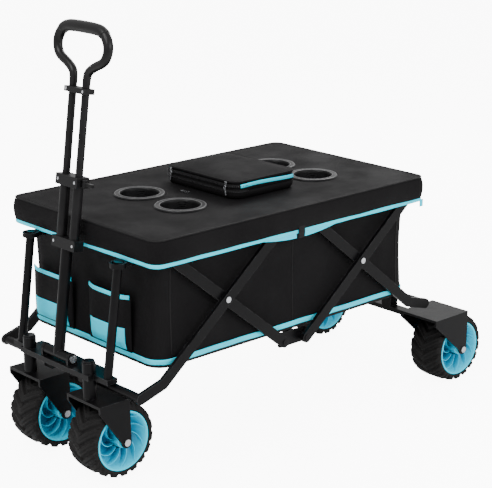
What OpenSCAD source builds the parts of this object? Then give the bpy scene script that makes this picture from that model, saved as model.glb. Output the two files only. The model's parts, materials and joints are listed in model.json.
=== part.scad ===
// Folding beach cart: a fabric tub hung in a double-scissor frame on four balloon wheels,
// with a zip-on lid, four cup holders, a lid bag and a telescoping tow handle.
// +X points to the tow handle, +Y to the left side, and the tyres stand on Z = 0.

/* [Wheels] */
// Outer radius of each tyre
wheel_r = 90; // [80:1:95]
// Width of each tyre
tyre_w = 102; // [80:1:110]
// Radius at which a tyre sits on its rim
rim_r = 70; // [58:1:74]
// Radius of the axle bolts
axle_r = 4; // [3:0.5:6]
// Distance between the middles of the front tyres
front_track = 224; // [212:1:240]
// Distance between the middles of the rear tyres
rear_track = 473; // [440:1:520]
// How far a front wheel trails behind its swivel
caster_trail = 54.2; // [45:0.1:60]

/* [Scissor frame] */
// Horizontal reach of half a scissor arm
arm_run = 186; // [160:1:200]
// Rise of half a scissor arm
arm_rise = 150; // [125:0.5:170]
// Distance between the two middle pivots on each side
mid_gap = 62; // [50:1:80]
// Height of the lower scissor pivots
low_z = 243; // [240:0.5:260]
// Width of the flat scissor tubes
bar_w = 25; // [20:1:28]
// Thickness of the flat scissor tubes
bar_t = 9; // [7:0.5:10]
// Radius of the scissor rivets
rivet_r = 4; // [3:0.5:5]
// Distance from a lower outer pivot out to the cross tube that the leg turns on
foot_run = 63; // [50:1:70]
// Drop from a lower outer pivot to that cross tube
foot_drop = 18; // [14:0.5:22]
// Radius of the two cross tubes
cross_r = 10; // [8:0.5:11]

/* [Fabric] */
// Half width of the fabric tub
tub_half_w = 236; // [200:1:250]
// Length of the fabric tub
tub_len = 808; // [670:1:812]
// Thickness of the fabric walls
cloth_t = 3; // [2:0.5:5]
// Depth of the lid's skirt
skirt_h = 61; // [50:1:70]
// Outer radius of a cup holder's flange
cup_flange_r = 61; // [55:1:64]
// Inner radius of a cup holder
cup_r = 46; // [35:1:48]
// Depth of a cup holder below the lid
cup_depth = 72; // [40:1:90]
// Length of the bag on the lid
bag_len = 199; // [160:1:205]
// Width of the bag on the lid
bag_w = 252; // [200:1:300]
// Height of the bag on the lid
bag_h = 44; // [30:1:70]

/* [Handle] */
// Lean of the handle behind upright, in degrees
handle_lean = 7.7; // [4:0.1:9]
// Length of the single lower pole
pole_len = 240; // [220:1:260]
// Length of the twin lower tubes
sleeve_len = 140; // [120:1:160]
// How far the twin rods stand out of the lower tubes
rod_out = 192; // [150:1:230]
// Radius of the twin rods
rod_r = 8.5; // [7:0.5:9]
// Half the distance between the twin rods
rod_half_gap = 23.5; // [22:0.5:26]
// Half the width of the grip
grip_half_w = 96; // [70:1:110]
// Radius of the grip
grip_r = 12; // [9:0.5:14]

/* [Hidden] */
$fn = 48;
fit = 0.05;
clear = 0.3;
plate_t = 2;
head_t = 1.8;
head_r = 7;

// Stations along the cart, worked out from the wheels and the scissor frame.
half_span = mid_gap / 2 + 2 * arm_run + foot_run;
stem_ahead = 30.2;
axle_behind = 96;
wheelbase = 2 * half_span + stem_ahead - caster_trail + axle_behind;
mid_x = wheelbase / 2 - half_span - stem_ahead + caster_trail;
top_z = low_z + 2 * arm_rise;
cross_z = low_z + arm_rise;
foot_z = low_z - foot_drop;

// Pivots as [x, z]: T top middle, R bottom middle, C crossing, Q top corner, L low corner, P foot.
function ahead(x) = mid_x + x;
function behind(x) = mid_x - x;
front_T = [ahead(mid_gap / 2), top_z];
rear_T = [behind(mid_gap / 2), top_z];
front_R = [ahead(mid_gap / 2), low_z];
rear_R = [behind(mid_gap / 2), low_z];
front_C = [ahead(mid_gap / 2 + arm_run), cross_z];
rear_C = [behind(mid_gap / 2 + arm_run), cross_z];
front_Q = [ahead(mid_gap / 2 + 2 * arm_run), top_z];
rear_Q = [behind(mid_gap / 2 + 2 * arm_run), top_z];
front_L = [front_Q[0], low_z];
rear_L = [rear_Q[0], low_z];
front_P = [ahead(half_span), foot_z];
rear_P = [behind(half_span), foot_z];

// Layers outward from the tub along Y.
plate_y = tub_half_w + clear;
inner_y = plate_y + plate_t + clear;
outer_y = inner_y + bar_t + 1;
side_y = outer_y + bar_t;
skin_y = side_y + head_t + 1.6;

// Front end.
stem_x = front_P[0] + stem_ahead;
stem_r = 8;
housing_r = 15;
fork_gap = tyre_w / 2 + 4;
fork_t = 5;
fork_plate_t = 6;
fork_ahead = 18;
fork_lobe_r = 13;
stem_cap_r = 13;
stem_cap_h = 4;
fork_top = wheel_r + 12;
housing_z0 = wheel_r + fork_top + 3.2;
housing_z1 = housing_z0 + 82.8;
deck_z = foot_z + 15;
deck_t = 12;
deck_top = deck_z + deck_t;
deck_reach = 16;
lug_half = 14;
lug_y0 = 50;
lug_y1 = 80;
front_axle = [stem_x - caster_trail, wheel_r];
rear_axle = [rear_P[0] - axle_behind, wheel_r];

// Upright posts at the front.
post_r = 10;
post_y = 161.7;
post_foot = [stem_x - 14.2, deck_top];
post_lean = 8;
post_len = 257;
post_play = 4.5;

// Fabric and lid.
tub_x0 = mid_x - tub_len / 2;
tub_x1 = mid_x + tub_len / 2;
floor_tube_r = 8;
floor_tube_z = low_z + 16.5;
tub_z0 = floor_tube_z + floor_tube_r + clear;
rim_tube_r = 8;
tub_z1 = top_z - rim_tube_r - clear;
front_rim_at = [tub_x1 - cloth_t - clear - rim_tube_r, top_z];
rear_rim_at = [tub_x0 + cloth_t + clear + rim_tube_r, top_z];
corner_r = 42;
lid_corner_r = 24;
skin_x = mid_gap / 2 + 2 * arm_run + bar_w / 2 + 12.5;
lid_top = top_z + 25;
lid_t = 6.5;
lid_under = lid_top - lid_t;
hem_z = lid_top - skirt_h;
brace_top = lid_under - clear;
cup_places = [[ahead(197), 74], [ahead(197), -74], [behind(228), 74], [behind(228), -74]];
bag_x0 = mid_x - 122;
bag_x1 = bag_x0 + bag_len;
bag_flap_t = 7;
bag_wall_h = bag_h - bag_flap_t - 1;
bag_corner_r = 24;
bag_wall = 4;
pocket_depth = 14;

// Handle.
hinge_at = [stem_x - 1.2, deck_top + 15];
hinge_pin_r = 5;
cheek_t = 6;
cheek_half = 13;
barrel_r = 12;
barrel_half = 44;
cheek_y = barrel_half + 0.5;
pole_r = 13;
sleeve_r = 11.5;
collar_h = 24;
sleeve_z0 = pole_len;
sleeve_z1 = sleeve_z0 + collar_h + sleeve_len;
rod_z0 = sleeve_z1 - 28;
rod_z1 = sleeve_z1 + rod_out;

// ---- shared shapes ----

module both_sides() {
    children();
    mirror([0, 1, 0]) children();
}

// An outline drawn in X and Z, given a thickness from y0 out to y1.
module slab(y0, y1) {
    translate([0, y1, 0])
        rotate([90, 0, 0])
            linear_extrude(y1 - y0)
                children();
}

module pin(at, r, y0, y1) {
    translate([at[0], y0, at[1]])
        rotate([-90, 0, 0])
            cylinder(r = r, h = y1 - y0);
}

function unit(v) = v / norm(v);
function normal(v) = [-v[1], v[0]];

// Sideways step from the i-th point of a line to the edge of a strip of width w, mitred at bends.
function edge_step(points, i, w) =
    let (before = unit(points[max(i, 1)] - points[max(i, 1) - 1]),
        last = len(points) - 1,
        after = unit(points[min(i + 1, last)] - points[min(i, last - 1)]),
        middle = unit(normal(before) + normal(after)))
    middle * w / 2 / (middle * normal(before));

// A flat strip of width w along a list of points, with square ends.
module square_strip(points, w) {
    last = len(points) - 1;
    polygon(concat(
        [for (i = [0 : last]) points[i] + edge_step(points, i, w)],
        [for (i = [last : -1 : 0]) points[i] - edge_step(points, i, w)]));
}

// The same with round ends.
module strip(points, w) {
    square_strip(points, w);
    translate(points[0]) circle(w / 2);
    translate(points[len(points) - 1]) circle(w / 2);
}

// The same points on the other side of the middle, in reverse order.
function mirrored(points) = [for (i = [len(points) - 1 : -1 : 0]) [-points[i][0], points[i][1]]];

module round_rect(x0, x1, y0, y1, r) {
    translate([x0 + r, y0]) square([x1 - x0 - 2 * r, y1 - y0]);
    translate([x0, y0 + r]) square([x1 - x0, y1 - y0 - 2 * r]);
    for (x = [x0 + r, x1 - r])
        for (y = [y0 + r, y1 - r])
            translate([x, y]) circle(r);
}

module block(x0, x1, y0, y1, z0, z1) {
    translate([x0, y0, z0])
        cube([x1 - x0, y1 - y0, z1 - z0]);
}

// ---- front end ----

module front_bridge() {
    color("#202022") difference() {
        union() {
            block(front_P[0] - deck_reach, stem_x + housing_r, -front_track / 2 - deck_reach,
                front_track / 2 + deck_reach, deck_z, deck_top);
            block(post_foot[0] - lug_half, post_foot[0] + lug_half, -post_y - post_r - 5,
                post_y + post_r + 5, deck_z, deck_top);
            both_sides() {
                translate([stem_x, front_track / 2, housing_z0])
                    cylinder(r = housing_r, h = housing_z1 - housing_z0);
                block(front_P[0] - lug_half, front_P[0] + lug_half, lug_y0, lug_y1, foot_z - lug_half, deck_z);
                block(hinge_at[0] - cheek_half, hinge_at[0] + cheek_half, cheek_y, cheek_y + cheek_t,
                    deck_top, hinge_at[1]);
                pin(hinge_at, cheek_half, cheek_y, cheek_y + cheek_t);
            }
        }
        pin(front_P, cross_r + fit, -lug_y1 - 10, lug_y1 + 10);
        pin(hinge_at, hinge_pin_r + 0.02, -barrel_half - 16, barrel_half + 16);
        both_sides()
            translate([stem_x, front_track / 2, housing_z0 - 1])
                cylinder(r = stem_r + fit, h = housing_z1 - housing_z0 + 2);
    }
}

module front_posts() {
    color("#1b1b1d") both_sides() difference() {
        translate([post_foot[0], post_y, post_foot[1]])
            rotate([0, -post_lean, 0])
                translate([0, 0, -10])
                    cylinder(r = post_r, h = post_len + 10);
        block(post_foot[0] - 30, post_foot[0] + 30, post_y - 20, post_y + 20, deck_top - 30, deck_top);
    }
}

module handle_pivot_bolt() {
    color("#b8bcc0") {
pin(hinge_at, hinge_pin_r, -barrel_half - 7, barrel_half + 7);
        both_sides() pin(hinge_at, 9, barrel_half + 7, barrel_half + 11);
    }
}

// ---- scissor frame ----

// The outer front bar of both sides with the cross tube that it turns on.
module front_leg_tube() {
    color("#1c1c1e") {
        both_sides() difference() {
            slab(outer_y, side_y) strip([front_T, front_L, front_P], bar_w);
            pin(front_T, rivet_r + fit, outer_y - 1, side_y + 1);
            pin(front_C, rivet_r + 0.02, outer_y - 1, side_y + 1);
        }
        pin(front_P, cross_r, -outer_y - 1, outer_y + 1);
    }
}

module cross_rivets(at) {
    color("#c9ccd0") both_sides() {
        pin(at, rivet_r, inner_y - 0.2, side_y + 0.2);
        pin(at, head_r, inner_y - 1.7, inner_y - 0.2);
        pin(at, head_r, side_y + 0.2, side_y + head_t);
    }
}

module front_cross_rivets() {
    cross_rivets(front_C);
}

module front_inner_bars() {
    color("#1c1c1e") both_sides() difference() {
        slab(inner_y, inner_y + bar_t) strip([front_R, front_Q], bar_w);
        for (at = [front_R, front_C, front_Q])
            pin(at, rivet_r + fit, inner_y - 1, inner_y + bar_t + 1);
    }
}

// A short pin through an inner bar, and a longer one on a spacer through an outer bar.
module inner_pin(at) {
    pin(at, rivet_r, plate_y + plate_t - 0.5, inner_y + bar_t + 0.2);
    pin(at, head_r, inner_y + bar_t + 0.2, inner_y + bar_t + head_t);
}

module outer_pin(at) {
    pin(at, 9, plate_y + plate_t - 0.5, outer_y - clear);
    pin(at, rivet_r, outer_y - 1, side_y + 0.2);
    pin(at, head_r, side_y + 0.2, side_y + head_t);
}

module bottom_mid_brackets() {
    color("#232326") both_sides() {
        slab(plate_y, plate_y + plate_t)
            round_rect(rear_R[0] - 14, front_R[0] + 14, low_z - 14, floor_tube_z + 6, 8);
        inner_pin(front_R);
        outer_pin(rear_R);
    }
}

module floor_cross_tube() {
    color("#1c1c1e") pin([mid_x, floor_tube_z], floor_tube_r, -tub_half_w, tub_half_w);
}

module rear_outer_bars() {
    color("#1c1c1e") both_sides() difference() {
        slab(outer_y, side_y) strip([rear_R, rear_Q], bar_w);
        pin(rear_C, rivet_r + 0.02, outer_y - 1, side_y + 1);
        for (at = [rear_R, rear_Q])
            pin(at, rivet_r + fit, outer_y - 1, side_y + 1);
    }
}

module rear_cross_rivets() {
    cross_rivets(rear_C);
}

module rear_leg_tube() {
    color("#1c1c1e") {
        both_sides() difference() {
            slab(inner_y, inner_y + bar_t) strip([rear_T, rear_L, rear_P], bar_w);
            pin(rear_T, rivet_r + 1, inner_y - 1, inner_y + bar_t + 1);
            pin(rear_C, rivet_r + fit, inner_y - 1, inner_y + bar_t + 1);
        }
        pin(rear_P, cross_r, -inner_y - 1, inner_y + 1);
    }
}

module top_mid_brackets() {
    color("#232326") both_sides() {
        slab(plate_y, plate_y + plate_t)
            round_rect(rear_T[0] - 14, front_T[0] + 14, top_z - 14, brace_top, 8);
        inner_pin(rear_T);
        outer_pin(front_T);
    }
}

// A cross tube just inside one end wall of the tub and the corner plates at its ends.
module rim_tube(at) {
    color("#1c1c1e") pin(at, rim_tube_r, -tub_half_w, tub_half_w);
}

module corner_plate(x0, x1) {
    slab(plate_y, plate_y + plate_t)
        round_rect(x0, x1, top_z - 14, brace_top, 8);
}

module front_rim_tube() {
    rim_tube(front_rim_at);
}

module rear_rim_tube() {
    rim_tube(rear_rim_at);
}

module front_rim_brackets() {
    arm_z = hem_z - 12;
    arm_x = post_foot[0] - (arm_z + 5 - deck_top) * tan(post_lean);
    color("#232326") both_sides() {
        corner_plate(front_rim_at[0] - 12, front_Q[0] + 12);
        inner_pin(front_Q);
        difference() {
            union() {
                block(front_rim_at[0] - 12, tub_x1 + 18, post_y - 14, post_y + 14, tub_z1 + 0.5, top_z + 13);
                block(tub_x1 + 1, tub_x1 + 18, post_y - 14, post_y + 14, arm_z, top_z + 13);
                block(tub_x1 + 1, arm_x, post_y - 10, post_y + 10, arm_z, arm_z + 11);
                translate([arm_x, post_y, arm_z]) cylinder(r = post_r + post_play + 4, h = 11);
            }
            pin(front_rim_at, rim_tube_r + 0.1, post_y - 20, post_y + 20);
            translate([arm_x, post_y, arm_z - 1]) cylinder(r = post_r + post_play, h = 13);
        }
    }
}

module rear_rim_brackets() {
    color("#232326") both_sides() {
        corner_plate(rear_Q[0] - 12, rear_rim_at[0] + 12);
        outer_pin(rear_Q);
    }
}

// ---- wheels ----

module tyre(at, y) {
    h = tyre_w / 2;
    color("#17181a") translate([at[0], y, at[1]]) rotate([90, 0, 0]) rotate_extrude($fn = 96)
        polygon([[rim_r, 8 - h], [rim_r + 6, -h], [wheel_r - 15, -h], [wheel_r - 3, 14 - h],
            [wheel_r, 28 - h], [wheel_r, h - 28], [wheel_r - 3, h - 14], [wheel_r - 15, h],
            [rim_r + 6, h], [rim_r, h - 8]]);
}

module rim(at, y) {
    h = tyre_w / 2 - 3;
    edge = rim_r - 0.05;
    bore = axle_r + fit;
    color("#57cdea") translate([at[0], y, at[1]]) rotate([90, 0, 0]) rotate_extrude($fn = 96)
        polygon([[bore, -h], [14, -h], [18, -8], [edge - 8, -6], [edge - 4, -h], [edge, -h],
            [edge, h], [edge - 4, h], [edge - 8, 6], [18, 8], [14, h], [bore, h]]);
}

// Side arm of a fork: a flat head at the top that tapers down to the axle.
module fork_arm(x0, x1, head) {
    skirt = 16;
    translate([x0, head - skirt]) square([x1 - x0, skirt]);
    polygon([[x0, head - skirt], [x1, head - skirt], [fork_lobe_r, 0], [-fork_lobe_r, 0]]);
    circle(fork_lobe_r);
}

module caster_fork(side) {
    y = side * front_track / 2;
    x0 = front_axle[0];
    z0 = front_axle[1];
    head_x = caster_trail + fork_ahead;
    arm_back = -10;
    color("#242427") translate([0, y, 0]) {
        translate([x0, 0, z0]) difference() {
            union() {
                both_sides() slab(fork_gap, fork_gap + fork_t) fork_arm(arm_back, head_x, fork_top);
                block(arm_back, head_x, -fork_gap - 1, fork_gap + 1, fork_top - fork_plate_t, fork_top);
            }
            pin([0, 0], axle_r + 0.02, -80, 80);
        }
        translate([stem_x, 0, z0 + fork_top - 1]) cylinder(r = stem_r, h = housing_z1 - z0 - fork_top + 3);
        translate([stem_x, 0, z0 + fork_top - 1]) cylinder(r = housing_r - 1, h = housing_z0 - z0 - fork_top + 0.7);
        translate([stem_x, 0, housing_z1 + clear]) cylinder(r = stem_cap_r, h = stem_cap_h);
    }
}

module axle_bolt(at, y) {
    reach = fork_gap + fork_t;
    color("#c9ccd0") translate([0, y, 0]) {
        pin(at, axle_r, -reach - 0.2, reach + 0.2);
        pin(at, 8, reach + 0.2, reach + 3);
        pin(at, 8, -reach - 3, -reach - 0.2);
    }
}

module rear_axle_frame() {
    top = rear_axle[1] + fork_top;
    color("#242427") {
        both_sides() translate([0, rear_track / 2, 0]) translate([rear_axle[0], 0, rear_axle[1]])
            difference() {
                union() {
                    both_sides() slab(fork_gap, fork_gap + fork_t) fork_arm(-14, axle_behind + 14, fork_top);
                    block(-14, axle_behind + 14, -fork_gap - 1, fork_gap + 1, fork_top - 6, fork_top);
                }
                pin([0, 0], axle_r + 0.02, -80, 80);
            }
        block(rear_P[0] - 14, rear_P[0] + 14, -rear_track / 2 + 50, rear_track / 2 - 50, top - 12, top);
        both_sides() difference() {
            block(rear_P[0] - 14, rear_P[0] + 14, 110, 140, top - 1, foot_z + 15);
            pin(rear_P, cross_r + fit, 100, 150);
        }
    }
}

// ---- fabric ----

module tub_outline(inset) {
    round_rect(tub_x0 + inset, tub_x1 - inset, inset - tub_half_w, tub_half_w - inset, corner_r - inset);
}

module tub_fabric() {
    color("#1a1a1c") difference() {
        translate([0, 0, tub_z0]) linear_extrude(tub_z1 - tub_z0) tub_outline(0);
        translate([0, 0, tub_z0 + cloth_t]) linear_extrude(tub_z1 - tub_z0) tub_outline(cloth_t);
    }
}

module floor_mat() {
    color("#141416") translate([0, 0, tub_z0 + cloth_t + clear])
        linear_extrude(6) tub_outline(cloth_t + 4);
}

module pocket(y0, y1, z1) {
    x0 = tub_x1 + clear;
    z0 = tub_z0 + 18;
    color("#4cc3e6") difference() {
        block(x0, x0 + pocket_depth, y0, y1, z0, z1);
        block(x0 + 2, x0 + pocket_depth - 2, y0 + 2, y1 - 2, z0 + 2, z1 + 1);
    }
}

module lid_outline(inset) {
    round_rect(mid_x - skin_x + inset, mid_x + skin_x - inset, inset - skin_y - cloth_t,
        skin_y + cloth_t - inset, lid_corner_r - inset);
}

module lid_cover() {
    color("#1b1b1d") difference() {
        translate([0, 0, hem_z]) linear_extrude(skirt_h) lid_outline(0);
        translate([0, 0, hem_z - 1]) linear_extrude(lid_under - hem_z + 1) lid_outline(cloth_t);
        for (at = cup_places)
            translate([at[0], at[1], hem_z]) cylinder(r = cup_r + 2.4, h = skirt_h + 1);
    }
}

module cup_flanges() {
    color("#262629") for (at = cup_places) translate([at[0], at[1], lid_top + clear]) difference() {
        cylinder(r = cup_flange_r, h = 3);
        translate([0, 0, -1]) cylinder(r = cup_r, h = 5);
    }
}

module cup_nets() {
    color("#141416") for (at = cup_places) translate([at[0], at[1], lid_top - cup_depth]) difference() {
        cylinder(r = cup_r + 2, h = cup_depth);
        translate([0, 0, 2]) cylinder(r = cup_r, h = cup_depth);
    }
}

module lid_bag() {
    z0 = lid_top + clear;
    h = bag_wall_h;
    w = bag_w / 2;
    color("#1b1b1d") difference() {
        translate([0, 0, z0]) linear_extrude(h) round_rect(bag_x0, bag_x1, -w, w, bag_corner_r);
        translate([0, 0, z0 + bag_wall]) linear_extrude(h)
            round_rect(bag_x0 + bag_wall, bag_x1 - bag_wall, bag_wall - w, w - bag_wall,
                bag_corner_r - bag_wall);
    }
}

module bag_flap() {
    w = bag_w / 2;
    color("#1b1b1d") translate([0, 0, lid_top + bag_wall_h + 2 * clear])
        linear_extrude(bag_flap_t) round_rect(bag_x0, bag_x1, -w, w, bag_corner_r);
}

// A zip's slider body with its pull tab, lying flat with the tab towards -Y.
module zip_pull() {
    color("#c9ccd0") {
        block(-5, 5, -6, 6, 0, 4);
        block(-3.5, 3.5, -26, -6, 1, 3);
    }
}

module bag_zip_pulls() {
    both_sides() translate([bag_x1 + clear, bag_w / 2 - 30, lid_top + bag_wall_h - 2])
        rotate([0, 90, 0]) rotate([0, 0, -90]) zip_pull();
}

module lid_zip_pull() {
    translate([bag_x1 + 34, 0, lid_top + clear]) zip_pull();
}

// ---- handle, built upright at its hinge and then leaned back ----

module leaned() {
    translate([hinge_at[0], 0, hinge_at[1]]) rotate([0, -handle_lean, 0]) children();
}

module handle_pole() {
    color("#1c1c1e") leaned() difference() {
        union() {
            cylinder(r = pole_r, h = pole_len);
            pin([0, 0], barrel_r, -barrel_half, barrel_half);
        }
        pin([0, 0], 5 + fit, -60, 60);
    }
}

module handle_sleeves() {
    y = rod_half_gap;
    color("#202023") leaned() difference() {
        union() {
            block(-13, 13, -y - 18, y + 18, sleeve_z0, sleeve_z0 + collar_h);
            both_sides() translate([0, y, sleeve_z0 + 4]) cylinder(r = sleeve_r, h = sleeve_z1 - sleeve_z0 - 4);
        }
        both_sides() translate([0, y, sleeve_z0 + collar_h]) cylinder(r = rod_r + fit, h = sleeve_len + 1);
    }
}

module handle_clamp() {
    y = rod_half_gap;
    color("#19191b") leaned() difference() {
        block(-17, 17, -y - 15, y + 15, sleeve_z1 - 24, sleeve_z1);
        both_sides() translate([0, y, sleeve_z1 - 25]) cylinder(r = sleeve_r + 0.02, h = 26);
    }
}

module clamp_lever() {
    y = rod_half_gap + 15;
    color("#29292c") leaned() translate([0, y + clear + 6, sleeve_z1 - 20]) {
        cylinder(r = 6, h = 16);
        block(-4, 4, 0, 30, 4, 11);
    }
}

module handle_rods() {
    color("#2b2b2e") leaned() both_sides()
        translate([0, rod_half_gap, rod_z0]) cylinder(r = rod_r, h = rod_z1 - rod_z0);
}

module handle_collar() {
    y = rod_half_gap;
    color("#19191b") leaned() difference() {
        block(-14, 14, -y - 13, y + 13, rod_z1 - 12, rod_z1);
        both_sides() translate([0, y, rod_z1 - 13]) cylinder(r = rod_r + 0.02, h = 14);
    }
}

// The bent grip: two necks that spread from the rods, joined by a bar across their tops.
module handle_grip() {
    g = grip_half_w;
    z = rod_z1;
    loop = [[rod_half_gap, z], [rod_half_gap, z + 28], [rod_half_gap + 14, z + 48],
        [g - 20, z + 66], [g - 6, z + 80], [g - 4, z + 100], [g - 14, z + 122], [g - 30, z + 130]];
    color("#19191b") leaned() translate([2 - grip_r, 0, 0]) rotate([90, 0, 90])
        linear_extrude(2 * grip_r - 4)
            square_strip(concat(loop, mirrored(loop)), 2 * grip_r - 4);
}

front_bridge();
front_posts();
handle_pivot_bolt();
front_leg_tube();
front_cross_rivets();
front_inner_bars();
bottom_mid_brackets();
floor_cross_tube();
rear_outer_bars();
rear_cross_rivets();
rear_leg_tube();
rear_axle_frame();
both_sides() axle_bolt(rear_axle, rear_track / 2);  // rear_axle_bolts
tyre(rear_axle, rear_track / 2);  // rear_left_tyre
rim(rear_axle, rear_track / 2);  // rear_left_rim
tyre(rear_axle, -rear_track / 2);  // rear_right_tyre
rim(rear_axle, -rear_track / 2);  // rear_right_rim
caster_fork(1);  // left_caster_fork
axle_bolt(front_axle, front_track / 2);  // left_caster_bolt
tyre(front_axle, front_track / 2);  // front_left_tyre
rim(front_axle, front_track / 2);  // front_left_rim
caster_fork(-1);  // right_caster_fork
axle_bolt(front_axle, -front_track / 2);  // right_caster_bolt
tyre(front_axle, -front_track / 2);  // front_right_tyre
rim(front_axle, -front_track / 2);  // front_right_rim
top_mid_brackets();
tub_fabric();
floor_mat();
pocket(0, 150, tub_z0 + 146);  // left_pocket
pocket(-212, -62, tub_z0 + 138);  // right_pocket
front_rim_tube();
front_rim_brackets();
rear_rim_tube();
rear_rim_brackets();
lid_cover();
cup_flanges();
cup_nets();
lid_bag();
bag_flap();
bag_zip_pulls();
lid_zip_pull();
handle_pole();
handle_sleeves();
handle_clamp();
clamp_lever();
handle_rods();
handle_collar();
handle_grip();
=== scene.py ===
import json
import math

import bmesh
import bpy
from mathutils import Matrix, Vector, noise


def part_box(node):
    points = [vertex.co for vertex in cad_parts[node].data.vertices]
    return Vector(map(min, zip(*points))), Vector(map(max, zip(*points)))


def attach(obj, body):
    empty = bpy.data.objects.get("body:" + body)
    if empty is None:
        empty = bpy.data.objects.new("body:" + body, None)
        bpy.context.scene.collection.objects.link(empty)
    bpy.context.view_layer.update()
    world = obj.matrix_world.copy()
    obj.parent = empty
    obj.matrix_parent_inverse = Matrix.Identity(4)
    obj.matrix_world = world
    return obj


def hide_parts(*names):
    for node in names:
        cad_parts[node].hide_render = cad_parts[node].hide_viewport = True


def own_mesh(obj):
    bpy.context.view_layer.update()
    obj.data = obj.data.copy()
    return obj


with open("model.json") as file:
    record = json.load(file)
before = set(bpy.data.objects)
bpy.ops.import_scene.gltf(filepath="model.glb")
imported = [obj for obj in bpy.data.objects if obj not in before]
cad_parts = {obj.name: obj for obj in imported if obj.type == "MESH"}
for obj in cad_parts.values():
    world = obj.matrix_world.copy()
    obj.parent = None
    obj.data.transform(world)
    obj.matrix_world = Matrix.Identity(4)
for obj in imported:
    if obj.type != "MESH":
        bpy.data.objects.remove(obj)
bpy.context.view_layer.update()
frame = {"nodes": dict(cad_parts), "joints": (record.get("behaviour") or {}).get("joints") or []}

# ---------------------------------------------------------------- places, all in metres

NODES = frame["nodes"]
JOINTS = {j["name"]: j for j in frame["joints"]}

TUB_LO, TUB_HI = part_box("tub_fabric")
LID_LO, LID_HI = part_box("lid_cover")
BAG_LO, BAG_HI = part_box("lid_bag")
FLAP_LO, FLAP_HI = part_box("bag_flap")
MAT_LO, MAT_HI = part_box("floor_mat")
RING_LO, RING_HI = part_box("cup_flanges")
NET_LO, NET_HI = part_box("cup_nets")
MID_X = (TUB_LO.x + TUB_HI.x) / 2

CUP_FLANGE_R = 0.061
CUP_R = 0.046
CUP_Y = RING_HI.y - CUP_FLANGE_R
CUP_X = (RING_LO.x + CUP_FLANGE_R, RING_HI.x - CUP_FLANGE_R)
CUP_PLACES = [(x, y) for x in CUP_X for y in (CUP_Y, -CUP_Y)]

HINGE = Vector(JOINTS["handle_tilt"]["pos_m"])
UP_POLE = Vector(JOINTS["handle_telescope"]["axis"])
AHEAD_OF_POLE = Vector((UP_POLE.z, 0, -UP_POLE.x))
ROD_TOP = 0.596
ROD_Y = 0.0235

WHEELS = ("front_left", "front_right", "rear_left", "rear_right")

# ---------------------------------------------------------------- meshes


def grid_faces(rows, cols, wrap_rows=False, wrap_cols=False):
    """Quads over a grid of points kept row after row."""
    faces = []
    for i in range(rows if wrap_rows else rows - 1):
        for j in range(cols if wrap_cols else cols - 1):
            k = (i + 1) % rows
            m = (j + 1) % cols
            faces.append((i * cols + j, i * cols + m, k * cols + m, k * cols + j))
    return faces


def skin(rings, wrap=False, start=False, end=False):
    """A surface over closed rings of points, with flat ends where they are asked for."""
    cols = len(rings[0])
    verts = [p for ring in rings for p in ring]
    faces = grid_faces(len(rings), cols, wrap, True)
    if start:
        faces.append(tuple(range(cols)))
    if end:
        faces.append(tuple(range(len(verts) - cols, len(verts))))
    return verts, faces


def merge(parts):
    """Several (points, faces) meshes as one."""
    verts, faces = [], []
    for more, quads in parts:
        base = len(verts)
        verts.extend(more)
        faces.extend(tuple(i + base for i in face) for face in quads)
    return verts, faces


def piece(name, mesh_data, material, sharp=None, marks=None):
    """An object from (points, faces), smooth-shaded; marks are named values for each point."""
    verts, faces = mesh_data
    mesh = bpy.data.meshes.new(name)
    mesh.from_pydata([tuple(v) for v in verts], [], faces)
    work = bmesh.new()
    work.from_mesh(mesh)
    bmesh.ops.recalc_face_normals(work, faces=work.faces)
    work.to_mesh(mesh)
    work.free()
    mesh.materials.append(material)
    mesh.shade_smooth()
    if sharp:
        mesh.set_sharp_from_angle(angle=math.radians(sharp))
    for mark, values in (marks or {}).items():
        mesh.attributes.new(mark, "FLOAT", "POINT").data.foreach_set("value", values)
    made = bpy.data.objects.new(name, mesh)
    bpy.context.scene.collection.objects.link(made)
    return made


ARC_STEPS = 8


def outline(lo, hi, radius, step):
    """Points round a box's rounded outline, anticlockwise, as (x, y, outward x, outward y)."""
    centres = [(hi.x - radius, hi.y - radius), (lo.x + radius, hi.y - radius),
               (lo.x + radius, lo.y + radius), (hi.x - radius, lo.y + radius)]
    points = []
    for i, (cx, cy) in enumerate(centres):
        for k in range(ARC_STEPS + 1):
            a = math.radians(90 * i + 90 * k / ARC_STEPS)
            points.append((cx + radius * math.cos(a), cy + radius * math.sin(a), math.cos(a), math.sin(a)))
        nx, ny = centres[(i + 1) % 4]
        a = math.radians(90 * (i + 1))
        end_x, end_y = nx + radius * math.cos(a), ny + radius * math.sin(a)
        from_x, from_y = points[-1][:2]
        pieces = max(1, round(math.hypot(end_x - from_x, end_y - from_y) / step))
        for k in range(1, pieces):
            t = k / pieces
            points.append((from_x + (end_x - from_x) * t, from_y + (end_y - from_y) * t,
                           math.cos(a), math.sin(a)))
    return points


def pushed(point, out, z):
    """One point of an outline moved outward by out, at height z."""
    x, y, nx, ny = point
    return Vector((x + nx * out, y + ny * out, z))


def ring_at(points, out, z):
    """The outline moved outward by out, at height z."""
    return [pushed(point, out, z) for point in points]


def inward_rings(points, out, shares, height):
    """Rings that shrink towards the middle of an outline; height(x, y) gives their z."""
    edge = ring_at(points, out, 0)
    centre = sum(edge, Vector()) / len(edge)
    rings = []
    for share in shares:
        flat = [centre + (p - centre) * share for p in edge]
        rings.append([Vector((p.x, p.y, height(p.x, p.y))) for p in flat])
    return rings


def disc(radius, sides=12):
    """A round cross-section."""
    turns = [2 * math.pi * k / sides for k in range(sides)]
    return [(radius * math.cos(a), radius * math.sin(a)) for a in turns]


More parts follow.
